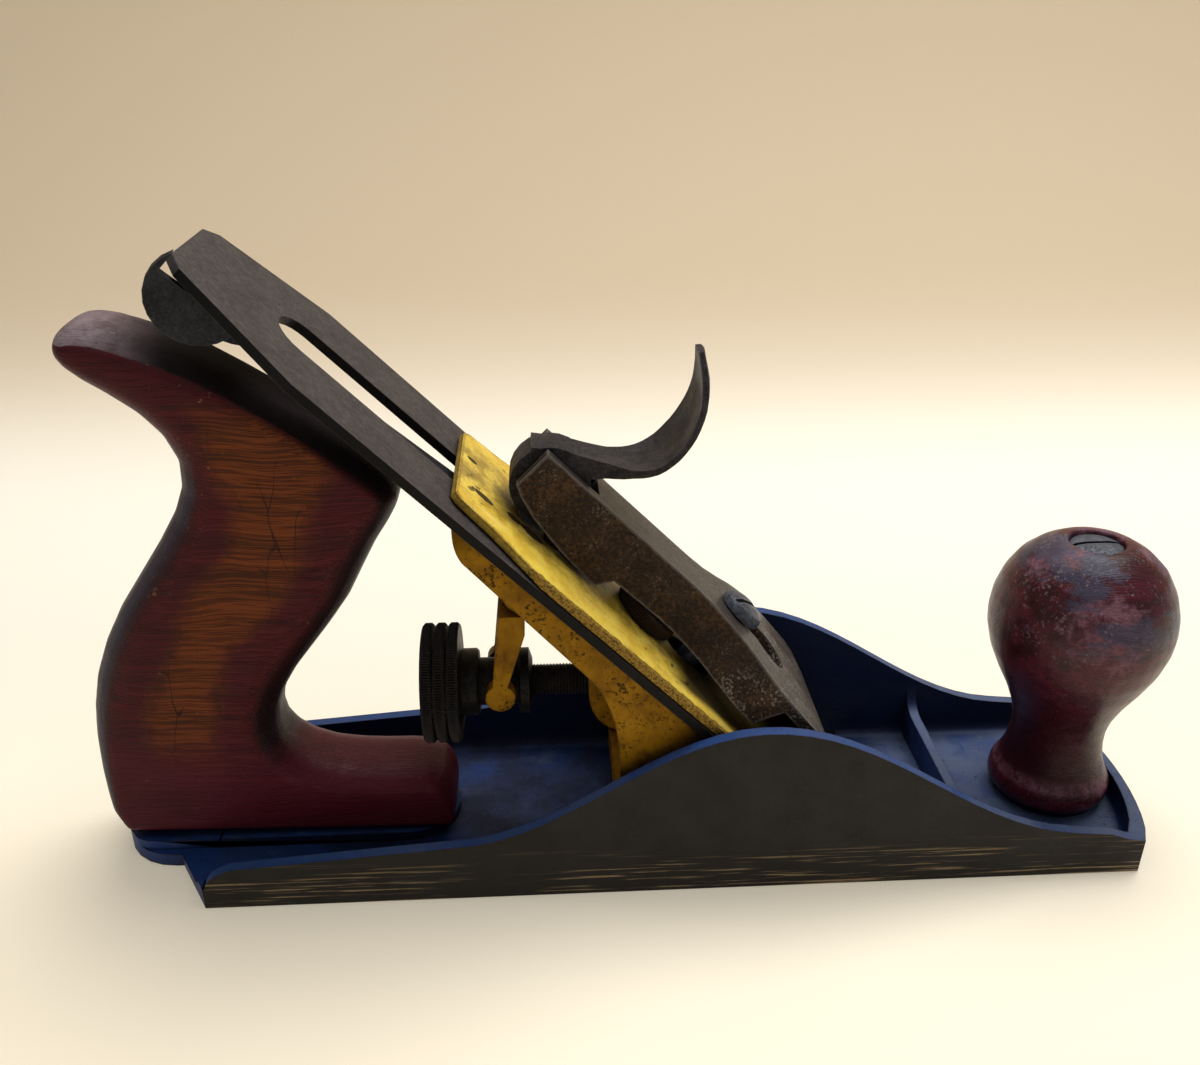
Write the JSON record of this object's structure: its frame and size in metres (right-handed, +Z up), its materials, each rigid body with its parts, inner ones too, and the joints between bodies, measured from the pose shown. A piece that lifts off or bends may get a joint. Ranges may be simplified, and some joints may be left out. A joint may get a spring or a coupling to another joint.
{
  "type": "smoothing_plane",
  "caption": "Old metal smoothing plane with a wooden tote and knob, ochre frog, yellow cap iron, screw depth adjuster, lateral lever and cam-locked lever cap",
  "frame": {"origin": "On the flat face of the sole, on its middle line, 124.5 mm ahead of the heel's rear tip and about 54 mm behind the mouth.", "axes": "+X runs along the sole to the toe, +Y to the left side seen from the heel, +Z up from the sole to the handles."},
  "size_m": [0.265, 0.06, 0.1516],
  "materials": {
    "blue_paint": "worn blue paint inside the casting, dark bare iron on the outer cheeks",
    "stained_wood": "maroon stain, rubbed through to brown wood where hands hold it",
    "ochre_paint": "matt ochre paint with dark specks",
    "yellow_paint": "brushed cream-yellow paint, chipped to brown along its edges",
    "blade_steel": "dull grey-brown tool steel",
    "plain_steel": "aged grey steel with fine specks",
    "dark_steel": "near-black oiled steel",
    "brown_casting": "brown patinated casting with yellow-brown specks and lighter edges"
  },
  "bodies": {
    "sole_body": {"body": "blue_paint", "tote": "stained_wood", "tote_bolt": "plain_steel", "tote_nut": "plain_steel", "knob": "stained_wood", "knob_bolt": "plain_steel", "knob_nut": "plain_steel", "frog_screw_near": "plain_steel", "frog_screw_far": "plain_steel", "frog_washer_near": "plain_steel", "frog_washer_far": "plain_steel"},
    "frog_body": {"frog": "ochre_paint", "adjuster_stud": "dark_steel", "yoke_pin": "plain_steel", "lateral_rivet": "plain_steel", "lever_cap_screw": "plain_steel"},
    "wheel": {"adjuster_wheel": "dark_steel"},
    "yoke": {"yoke": "ochre_paint"},
    "iron_set": {"iron": "blade_steel", "cap_iron": "yellow_paint", "cap_iron_screw": "plain_steel", "cap_iron_nut": "dark_steel"},
    "lateral": {"lateral_lever": "dark_steel", "lateral_roller": "plain_steel"},
    "lever_cap": {"lever_cap": "brown_casting", "cam_pin": "plain_steel", "lever_cap_spring": "plain_steel", "spring_rivet": "plain_steel"},
    "cam": {"cam_lever": "plain_steel"}
  },
  "joints": [
    {"name": "frog_shift", "type": "slide", "parent": "sole_body", "child": "frog_body", "axis": [1, 0, 0], "range_m": [-0.001, 0.0015]},
    {"name": "wheel_travel", "type": "slide", "parent": "frog_body", "child": "wheel", "axis": [1, 0, 0], "range_m": [-0.004, 0.004]},
    {"name": "yoke_tilt", "type": "hinge", "parent": "frog_body", "child": "yoke", "pos_m": [-0.0225, 0, 0.0745], "axis": [0, 1, 0], "range_deg": [-8, 8]},
    {"name": "iron_feed", "type": "slide", "parent": "frog_body", "child": "iron_set", "axis": [0.7071, 0, -0.7071], "range_m": [-0.0013, 0.0013]},
    {"name": "lateral_swing", "type": "hinge", "parent": "frog_body", "child": "lateral", "pos_m": [-0.03459, 0, 0.09369], "axis": [0.7071, 0, 0.7071], "range_deg": [-27, 3]},
    {"name": "lever_cap_slide", "type": "slide", "parent": "frog_body", "child": "lever_cap", "axis": [-0.7071, 0, 0.7071], "range_m": [0, 0.0127]},
    {"name": "cam_lever_swing", "type": "hinge", "parent": "lever_cap", "child": "cam", "pos_m": [-0.01557, 0, 0.09645], "axis": [0, -1, 0], "range_deg": [0, 100]}
  ],
  "couplings": [
    {"joint": "yoke_tilt", "follows": "wheel_travel", "rad_per_m": -32.362},
    {"joint": "iron_feed", "follows": "wheel_travel", "ratio": -0.28479}
  ]
}
